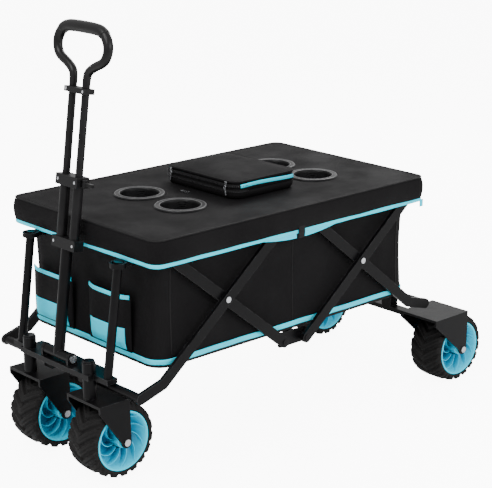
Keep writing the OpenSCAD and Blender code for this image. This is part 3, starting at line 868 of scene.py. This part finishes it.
def lid_trim():
    """The lid's blue hem, its top seam, and the straps and leaf-shaped flaps at mid-length."""
    middle = LID_LO.z + HEM_TALL / 2 - 0.0006
    hem = [pushed(point, -0.0009, middle + ripple(*point[:2], 0.3, 0.06, 0.0010)) for point in LID_ROUND]
    crumples(swept_piece("lid_hem", hem, HEM, BINDING, closed=True), "lid")
    seam = ring_at(LID_ROUND, -0.0012, LID_LO.z + LID_TALL * LID_SEAM_SHARE)
    crumples(swept_piece("lid_seam", seam, LID_SEAM, WEBBING, closed=True), "lid")
    straps, flaps = [], []
    for side in (1, -1):
        y = side * (LID_HI.y + 0.0022)
        path = []
        for k in range(9):
            bow = 0.0016 * math.sin(math.pi * k / 8)
            path.append(Vector((MID_X, y + side * bow, LID_LO.z + 0.022 - STRAP_LONG * k / 8)))
        straps.append(swept(path, STRAP, up=(1, 0, 0))[:2])
        flaps += [leaf(way, side, y) for way in (1, -1)]
    crumples(piece("lid_straps", merge(straps), WEBBING), "lid")
    crumples(piece("lid_flaps", merge(flaps), BINDING, sharp=40), "lid")


def leaf_faces(count):
    """Faces of a thin strip with this many points along each edge, outer skin then inner skin."""
    ring = 2 * count
    faces = []
    for k in range(count - 1):
        a, b, c, d = k, k + 1, ring - 2 - k, ring - 1 - k
        faces.append((a, b, c, d))
        faces.append((a + ring, b + ring, c + ring, d + ring))
    for k in range(ring):
        m = (k + 1) % ring
        faces.append((k, m, m + ring, k + ring))
    return faces


# A cup ring's closed cross-section, and the two pale hoops on it, as (radius, height over the lid).
RING_PROFILE = [(CUP_R - 0.0005, -0.004), (CUP_R + 0.0008, 0.0016), (0.0485, 0.0030), (0.0515, 0.0022),
                (0.0550, 0.0034), (0.0585, 0.0028), (CUP_FLANGE_R - 0.0008, 0.0012), (CUP_FLANGE_R, 0.0002),
                (0.0555, 0.0001), (CUP_R + 0.0022, 0.0001), (CUP_R + 0.0012, -0.004)]
RING_LINES = ((0.0482, 0.0030), (0.0583, 0.0028))
LINE_R = 0.0004
CUP_SIDES = 56
NET_SIDES = 48
NET_STEPS = 12


def net_cup(x, y):
    """One net cup: a slightly slack wall and a shallow floor."""
    hoops = []
    for k in range(NET_STEPS + 1):
        t = k / NET_STEPS
        radius = CUP_R - 0.0008 - 0.003 * t - 0.0015 * math.sin(math.pi * t)
        hoops.append((radius, NET_HI.z - (NET_HI.z - NET_LO.z - 0.002) * t))
    hoops += [(CUP_R * 0.8, NET_LO.z + 0.0012), (CUP_R * 0.45, NET_LO.z + 0.0008), (0.002, NET_LO.z + 0.0008)]
    turns = [2 * math.pi * j / NET_SIDES for j in range(NET_SIDES)]
    rings = [[Vector((x + r * math.cos(a), y + r * math.sin(a), h)) for a in turns] for r, h in hoops]
    return skin(rings, end=True)


def cups():
    """Four cup holders: moulded rings with two pale lines, and net cups that hang through the lid."""
    centres = [Vector((x, y, RING_LO.z)) for x, y in CUP_PLACES]
    rings = merge([lathe(RING_PROFILE, centre, (0, 0, 1), CUP_SIDES) for centre in centres])
    made = crumples(piece("cup_rings", rings, MOULDED, sharp=60), "lid")
    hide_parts("cup_flanges")
    lines = []
    for centre in centres:
        for radius, lift in RING_LINES:
            hoop = [(radius + u, lift + v) for u, v in disc(LINE_R, 6)]
            lines.append(lathe(hoop, centre, (0, 0, 1), CUP_SIDES))
    crumples(piece("cup_ring_lines", merge(lines), PALE), "lid")
    nets = merge([net_cup(x, y) for x, y in CUP_PLACES])
    made = crumples(piece("cup_net_cloth", nets, NET), "lid")
    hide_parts("cup_nets")


# ---------------------------------------------------------------- the bag on the lid

BAG_ROUND = outline(BAG_LO, BAG_HI, 0.026, 0.012)
BAG_TALL = BAG_HI.z - BAG_LO.z
# The bag's side from its floor to its mouth, as (height share, outset).
BAG_SIDE = ((0.0, -0.0050), (0.08, -0.0016), (0.25, 0.0010), (0.42, 0.0016), (0.50, -0.0004), (0.58, 0.0012),
            (0.80, 0.0006), (0.94, -0.0010), (1.0, -0.0030))
# The flap's edge from its underside to its top, as (outset, height).
FLAP_EDGE = ((-0.0024, FLAP_LO.z + 0.0003), (0.0006, FLAP_LO.z + 0.0012), (0.0012, FLAP_LO.z + 0.0034),
             (-0.0002, FLAP_LO.z + 0.0054), (-0.0036, FLAP_HI.z - 0.0010))
FLAP_CROWN = 0.0052
PIPING = disc(0.0013, 8)
BLUE_TAPE = band(0.0036, 0.0086)
BLUE_TAPE_SETBACK = 0.016
ZIP_TAPE = band(0.0016, 0.0074)
# The two zips round the bag's front, as (height share, outset), and how far they reach back.
ZIPS = ((0.50, 0.0016), (0.86, 0.0022))
ZIP_REACH = 0.045
# A zip tooth: its pitch, its half sizes, and how far its middle stands out of the tape's.
TOOTH_PITCH = 0.0042
TOOTH_HALF_LONG = 0.0008
TOOTH_HALF_TALL = 0.0011
TOOTH_OUT = 0.0012
TOOTH_HALF_DEEP = 0.0008
TOOTH_FACES = [(0, 1, 3, 2), (4, 6, 7, 5), (0, 4, 5, 1), (2, 3, 7, 6), (0, 2, 6, 4), (1, 5, 7, 3)]


def flap_top(x, y):
    """The padded flap's crowned top."""
    u = (x - BAG_LO.x) / (BAG_HI.x - BAG_LO.x) * 2 - 1
    v = y / BAG_HI.y
    return FLAP_HI.z - 0.0012 + FLAP_CROWN * (1 - u ** 4) * (1 - v ** 4) + ripple(x, y, 1, 0.07, 0.0010)


def bag():
    """The zipped bag: a soft open-topped body and a padded flap that hinges at its back edge."""
    rings = inward_rings(BAG_ROUND, -0.0060, (0.05, 0.5, 0.9), lambda x, y: BAG_LO.z + 0.0004)
    for share, out in BAG_SIDE:
        z = BAG_LO.z + BAG_TALL * share
        rings.append([pushed(point, out + ripple(*point[:2], share, 0.05, 0.0008), z) for point in BAG_ROUND])
    rings += [ring_at(BAG_ROUND, -0.0058, BAG_HI.z - 0.001), ring_at(BAG_ROUND, -0.0062, BAG_LO.z + 0.005)]
    rings += inward_rings(BAG_ROUND, -0.0070, (0.97, 0.8, 0.4, 0.02), lambda x, y: BAG_LO.z + 0.0045)
    made = piece("bag_body", skin(rings, start=True, end=True), CLOTH, sharp=60)
    placed(made, "lid")
    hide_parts("lid_bag")
    rings = inward_rings(BAG_ROUND, -0.004, (0.05, 0.5, 0.9), lambda x, y: FLAP_LO.z + 0.0004)
    rings += [ring_at(BAG_ROUND, out, z) for out, z in FLAP_EDGE]
    rings += inward_rings(BAG_ROUND, -0.0060, (0.98, 0.92, 0.84, 0.7, 0.5, 0.3, 0.1), flap_top)
    made = piece("bag_top_flap", skin(rings, start=True, end=True), CLOTH)
    placed(made, "bag_flap")
    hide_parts("bag_flap")
    edge = ring_at(BAG_ROUND, -0.0010, FLAP_LO.z + 0.0052)
    placed(swept_piece("bag_flap_piping", edge, PIPING, WEBBING, closed=True), "bag_flap")


def bag_zips():
    """The blue zip tapes along the bag's two sides, and the black zips round its front."""
    x0, x1 = BAG_LO.x + BLUE_TAPE_SETBACK, BAG_HI.x - BLUE_TAPE_SETBACK
    tapes = []
    for side in (1, -1):
        path = []
        for k in range(19):
            t = k / 18
            sway = 0.0014 * math.sin(5 * t)
            path.append(Vector((x1 + (x0 - x1) * t, side * (BAG_HI.y + 0.0020), BAG_HI.z - 0.0052 + sway)))
        tapes.append(swept(path, BLUE_TAPE))
    marks = {key: [v for tape in tapes for v in tape[2][key]] for key in ("along", "across")}
    placed(piece("bag_blue_tapes", merge([tape[:2] for tape in tapes]), BINDING, marks=marks),
           "lid")
    front = [point for point in BAG_ROUND if point[0] > BAG_HI.x - ZIP_REACH]
    front.sort(key=lambda point: math.atan2(point[1], point[0]))
    zip_tapes, teeth = [], []
    for share, out in ZIPS:
        path = ring_at(front, out, BAG_LO.z + BAG_TALL * share)
        zip_tapes.append(swept(path, ZIP_TAPE)[:2])
        teeth += zip_teeth(path, front)
    placed(piece("bag_zip_tapes", merge(zip_tapes), WEBBING), "lid")
    placed(piece("bag_zip_teeth", merge(teeth), TEETH, sharp=30), "lid")


def zip_pulls():
    """Silver sliders at the bag's two front corners, each with a pull that hangs from it."""
    lo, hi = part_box("bag_zip_pulls")
    parts = []
    for side in (1, -1):
        top = Vector((lo.x + 0.0030, side * (hi.y - 0.0045), BAG_HI.z - 0.0010))
        body = [top + Vector((0, side * 0.0010, 0.0055 - 0.0015 * k)) for k in range(8)]
        parts.append(swept(body, band(0.0070, 0.0040), up=(1, 0, 0))[:2])
        loop = [top + Vector((0.0022, 0.0032 * math.sin(a), -0.0075 - 0.0040 * math.cos(a)))
                for a in (math.pi * k / 8 for k in range(16))]
        parts.append(swept(loop, disc(0.0007, 6), up=(1, 0, 0), closed=True)[:2])
        tongue = [top + Vector((0.0026, side * 0.0004 * k, -0.0105 - 0.0022 * k)) for k in range(8)]
        parts.append(swept(tongue, band(0.0050, 0.0012), up=(1, 0, 0))[:2])
    made = placed(piece("bag_hanging_pulls", merge(parts), STEEL, sharp=40), "bag_zips")
    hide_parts("bag_zip_pulls")


def zip_teeth(path, facing):
    """A row of small teeth along a path, standing out along each point's own direction."""
    made = []
    left = 0.0
    for a, b, (_, _, nx, ny) in zip(path, path[1:], facing):
        run = (b - a).length
        heading = (b - a).normalized()
        outward = Vector((nx, ny, 0))
        while left < run:
            centre = a + heading * left + outward * TOOTH_OUT
            corners = []
            for i in (-1, 1):
                for j in (-1, 1):
                    edge = centre + heading * (i * TOOTH_HALF_LONG) + Vector((0, 0, j * TOOTH_HALF_TALL))
                    corners += [edge + outward * (k * TOOTH_HALF_DEEP) for k in (-1, 1)]
            made.append((corners, TOOTH_FACES))
            left += TOOTH_PITCH
        left -= run
    return made


# ---------------------------------------------------------------- wheels

LUGS = 18
LUG_STEPS = 16
LUG_TALL = 0.0055
LUG_SWEEP = 1.15
# Shares of the pitch between lugs: where a lug ends, its ramps, and the slit along its middle.
LUG_SHARE = 0.66
LUG_RAMP = 0.06
SLIT = (0.30, 0.37)
SLIT_DEEP = 0.35
TREAD_STEPS = 22
# The tyre's shoulder, side wall and bead, as (across, radius, lean out, lean up, lug weight).
SHOULDER = [(0.0462, 0.0772, 0.7, 0.7, 0.95), (0.0478, 0.0750, 0.9, 0.4, 0.6),
            (0.0488, 0.0732, 1.0, 0.1, 0.12), (0.0486, 0.0718, 1.0, 0.0, 0.0),
            (0.0470, 0.0708, 0.0, 0.0, 0.0), (0.0440, 0.0700, 0.0, 0.0, 0.0)]


def lug_height(turn, across):
    """Chevron lugs: 1 on a lug and 0 in a groove, with a fine slit along each lug's middle."""
    phase = (turn * LUGS - abs(across) * LUG_SWEEP) % 1.0
    rise = min(1.0, phase / LUG_RAMP) if phase < LUG_SHARE else max(0.0, 1 - (phase - LUG_SHARE) / LUG_RAMP)
    slit = SLIT_DEEP if SLIT[0] < phase < SLIT[1] and abs(across) > 0.12 else 0.0
    return rise * (1 - slit)


def tyre_section():
    """The tyre's closed cross-section as (across, radius, lean out, lean up, lug weight)."""
    section = []
    for k in range(TREAD_STEPS + 1):
        t = 2 * k / TREAD_STEPS - 1
        section.append((0.043 * t, 0.0845 - 0.0042 * abs(t) ** 3, 0.25 * t * abs(t), 1.0, 1.0))
    section += SHOULDER
    section += [(-y, r, -ny, nr, w) for y, r, ny, nr, w in reversed(SHOULDER)]
    return section


def tyre(name, centre):
    """A wide tyre with chevron lugs that run over its shoulders."""
    section = tyre_section()
    count = LUGS * LUG_STEPS
    rings = []
    for k in range(count):
        turn = k / count
        a = 2 * math.pi * turn
        spoke = Vector((math.cos(a), 0, math.sin(a)))
        ring = []
        for y, r, lean_y, lean_r, weight in section:
            rise = LUG_TALL * weight * lug_height(turn, y / 0.047)
            ring.append(centre + spoke * (r + lean_r * rise) + Vector((0, y + lean_y * rise * 0.45, 0)))
        rings.append(ring)
    return piece(name, skin(rings, wrap=True), RUBBER, sharp=32)


# One half of the rim as (radius, along the axle): lip, dish, then hub.
RIM_PROFILE = [(0.0690, 0.0), (0.0690, 0.0440), (0.0700, 0.0470), (0.0690, 0.0480), (0.0662, 0.0480),
               (0.0645, 0.0462), (0.0628, 0.0405), (0.0570, 0.0285), (0.0450, 0.0180), (0.0310, 0.0125),
               (0.0215, 0.0115), (0.0180, 0.0150), (0.0165, 0.0300), (0.0155, 0.0468), (0.0145, 0.0480),
               (0.0050, 0.0480), (0.0046, 0.0470), (0.0046, 0.0)]
RIBS = 10
RIB_SWIRL = math.radians(52)
RIB_STEPS = 10
# Half a rib's thickness at its root and at its crest.
RIB_ROOT = 0.0016
RIB_CREST = 0.0009


def dish_depth(radius):
    """How far along the axle the dish's surface is at a radius."""
    dish = sorted(RIM_PROFILE[5:12])
    for (r0, y0), (r1, y1) in zip(dish, dish[1:]):
        if r0 <= radius <= r1:
            return y0 + (y1 - y0) * (radius - r0) / (r1 - r0)
    return dish[-1][1]


def rim_rib(centre, side, turn):
    """One curved blade from the hub to the lip."""
    rings = []
    for k in range(RIB_STEPS + 1):
        s = k / RIB_STEPS
        radius = 0.0168 + 0.0468 * s
        a = turn + RIB_SWIRL * s ** 1.4
        spoke = Vector((math.cos(a), 0, math.sin(a)))
        beside = Vector((-math.sin(a), 0, math.cos(a)))
        low = dish_depth(radius) - 0.0015
        high = 0.0300 + 0.0130 * s ** 1.5
        corners = ((RIB_ROOT, low), (RIB_CREST, high), (-RIB_CREST, high), (-RIB_ROOT, low))
        base = centre + spoke * radius
        rings.append([base + beside * out + Vector((0, side * along, 0)) for out, along in corners])
    return skin(rings, start=True, end=True)


def rim(name, centre):
    """The dished rim with ten swirled ribs on each side."""
    loop = RIM_PROFILE + [(r, -y) for r, y in reversed(RIM_PROFILE) if y > 0]
    parts = [lathe(loop, centre, (0, 1, 0), 72)]
    for side in (1, -1):
        for k in range(RIBS):
            parts.append(rim_rib(centre, side, 2 * math.pi * (k + 0.25) / RIBS))
    verts, faces = merge(parts)
    # Each point's painted shade: strongest near the wheel's middle plane, down in the dish, and none at the
    # outer faces.
    deep = []
    for p in verts:
        inward = 1 - abs(p.y - centre.y) / 0.044
        deep.append(max(0.0, min(1.0, inward * 1.25)) ** 1.2)
    return piece(name, (verts, faces), CYAN_PLASTIC, sharp=35, marks={"deep": deep})


def wheels():
    """Tyres and rims on the four axles."""
    for name in WHEELS:
        lo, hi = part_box(name + "_tyre")
        centre = (lo + hi) / 2
        body = name + "_wheel"
        made = placed(tyre(name + "_treaded_tyre", centre), body)
        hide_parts(name + "_tyre")
        made = placed(rim(name + "_ribbed_rim", centre), body)
        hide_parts(name + "_rim")


# ---------------------------------------------------------------- the tow handle


# One half of the grip's centre line, as (across, height over the rods' tops).
GRIP_HALF = [(ROD_Y, 0.0), (ROD_Y, 0.020), (0.027, 0.036), (0.050, 0.050), (0.078, 0.061), (0.089, 0.078),
             (0.090, 0.098), (0.078, 0.118), (0.060, 0.128), (0.030, 0.130)]
GRIP_TUBE = disc(0.0118, 16)
SLEEVE_TUBE = disc(0.0126, 16)
SLEEVE_HEIGHT = 0.119
RIVET_R = 0.0032
RIVET_HEAD = [(0.0002, 0.0018), (RIVET_R * 0.6, 0.0015), (RIVET_R, 0.0006), (RIVET_R, 0.0), (0.0002, 0.0)]
# Rivets on the handle, as (height over the hinge, across, ahead of the axis).
COLLAR_RIVETS = [(ROD_TOP - 0.006, y, 0.0140) for y in (0.0300, -0.0300)]
POLE_RIVETS = [(0.252, y, 0.0132) for y in (0.0340, -0.0340)]
POLE_RIVETS += [(0.392, y, 0.0170) for y in (0.0300, -0.0300)]


def on_handle(along, side, ahead=0.0):
    """A point on the handle: up its axis from the hinge, across the cart, and ahead of the axis."""
    return HINGE + UP_POLE * along + Vector((0, side, 0)) + AHEAD_OF_POLE * ahead


def handle_grip():
    """The bent grip loop, and the thicker rubber sleeve on its bar."""
    loop = [on_handle(ROD_TOP + h, y) for y, h in GRIP_HALF]
    loop += [on_handle(ROD_TOP + h, -y) for y, h in reversed(GRIP_HALF)]
    path = smooth_path(loop)
    fat = []
    for p in path:
        share = ((p - HINGE).dot(UP_POLE) - ROD_TOP) / GRIP_HALF[-1][1]
        fat.append(0.72 + 0.28 * min(1.0, max(0.0, share)) ** 0.8)
    made = swept_piece("grip_loop", path, GRIP_TUBE, GRIP, up=AHEAD_OF_POLE, scale=fat)
    placed(made, "handle_slider")
    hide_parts("handle_grip")
    bar = [p for p in path if (p - HINGE).dot(UP_POLE) > ROD_TOP + SLEEVE_HEIGHT]
    fat = [1.0 + 0.06 * math.sin(math.pi * k / (len(bar) - 1)) for k in range(len(bar))]
    placed(swept_piece("grip_sleeve", bar, SLEEVE_TUBE, GRIP, up=AHEAD_OF_POLE, scale=fat),
           "handle_slider")


def handle_rivets(name, places, body):
    """Silver rivet heads on the front of the handle."""
    heads = [lathe(RIVET_HEAD, on_handle(*place), AHEAD_OF_POLE, 20) for place in places]
    placed(piece(name, merge(heads), STEEL, sharp=40), body)


# ---------------------------------------------------------------- the corner tabs, and the CAD's finishes


def corner_tabs():
    """The short blue tabs at the lid's two rear corners."""
    tabs = []
    for y in (LID_LO.y, LID_HI.y):
        side = math.copysign(1, y)
        x = LID_LO.x + 0.012
        path = [Vector((x, y - side * 0.0005, LID_LO.z + 0.004 - 0.018 * k / 6)) for k in range(7)]
        tabs.append(swept(path, band(0.0022, 0.0120), up=(1, 0, 0))[:2])
    crumples(piece("lid_corner_tabs", merge(tabs), BINDING), "lid")


def finish_cad_nodes():
    """Every CAD node that stays gets its slot's finish."""
    for node in NODES.values():
        for place in node.material_slots:
            place.material = FINISH_OF_SLOT[place.material.name.split(".")[0]]


# ---------------------------------------------------------------- floor, light and camera

CAMERA_AZIMUTH = math.radians(137.36)
CAMERA_ELEVATION = math.radians(16.46)
CAMERA_DISTANCE = 3.8051
CAMERA_LIFT = 0.39061
CAMERA_BESIDE = -0.0131
CAMERA_LENS = 110.1
FLOOR_HALF = 30.0
# The soft lights, as (name, place, size, watts).
LIGHTS = (("key", (2.4, 0.4, 3.2), (1.8, 1.8), 105), ("side", (-0.4, 3.4, 2.0), (2.4, 1.2), 75),
          ("back", (-2.8, -1.4, 2.8), (1.8, 1.2), 60))
LIGHTS_AIM = Vector((0, 0, 0.35))


def camera():
    """The camera, from its bearing and height round the cart."""
    a, e = CAMERA_AZIMUTH, CAMERA_ELEVATION
    back = Vector((math.sin(a) * math.cos(e), -math.cos(a) * math.cos(e), math.sin(e)))
    right = Vector((math.cos(a), math.sin(a), 0))
    up = back.cross(right)
    data = bpy.data.cameras.new("camera")
    data.lens = CAMERA_LENS
    data.sensor_width = 36
    made = bpy.data.objects.new("camera", data)
    made.location = back * CAMERA_DISTANCE + up * CAMERA_LIFT + Vector((CAMERA_BESIDE, 0, 0))
    made.rotation_mode = "QUATERNION"
    made.rotation_quaternion = (-back).to_track_quat("-Z", "Y")
    bpy.context.scene.collection.objects.link(made)
    bpy.context.scene.camera = made


def soft_light(name, place, size, power):
    """A large area light aimed at the cart's middle."""
    data = bpy.data.lights.new(name, "AREA")
    data.shape = "RECTANGLE"
    data.size, data.size_y = size
    data.energy = power
    made = bpy.data.objects.new(name, data)
    made.location = place
    made.rotation_mode = "QUATERNION"
    made.rotation_quaternion = (LIGHTS_AIM - made.location).to_track_quat("-Z", "Y")
    bpy.context.scene.collection.objects.link(made)


def studio():
    """A pale floor, three soft lights and a white surround."""
    corners = [Vector((x * FLOOR_HALF, y * FLOOR_HALF, 0)) for x, y in ((-1, -1), (1, -1), (1, 1), (-1, 1))]
    floor = piece("studio_floor", (corners, [(0, 1, 2, 3)]), floor_paint())
    for light in LIGHTS:
        soft_light(*light)
    world = bpy.data.worlds.new("surround")
    world.use_nodes = True
    world.node_tree.nodes["Background"].inputs["Color"].default_value = (1, 1, 1, 1)
    world.node_tree.nodes["Background"].inputs["Strength"].default_value = 1.0
    bpy.context.scene.world = world


# ---------------------------------------------------------------- the whole cart

camera()
studio()
finish_cad_nodes()
tub()
tub_trim()
floor_mat()
pocket("left_pocket")
pocket("right_pocket")
lid()
lid_trim()
cups()
bag()
bag_zips()
zip_pulls()
wheels()
handle_grip()
handle_rivets("collar_rivets", COLLAR_RIVETS, "handle_slider")
handle_rivets("pole_rivets", POLE_RIVETS, "handle")
corner_tabs()
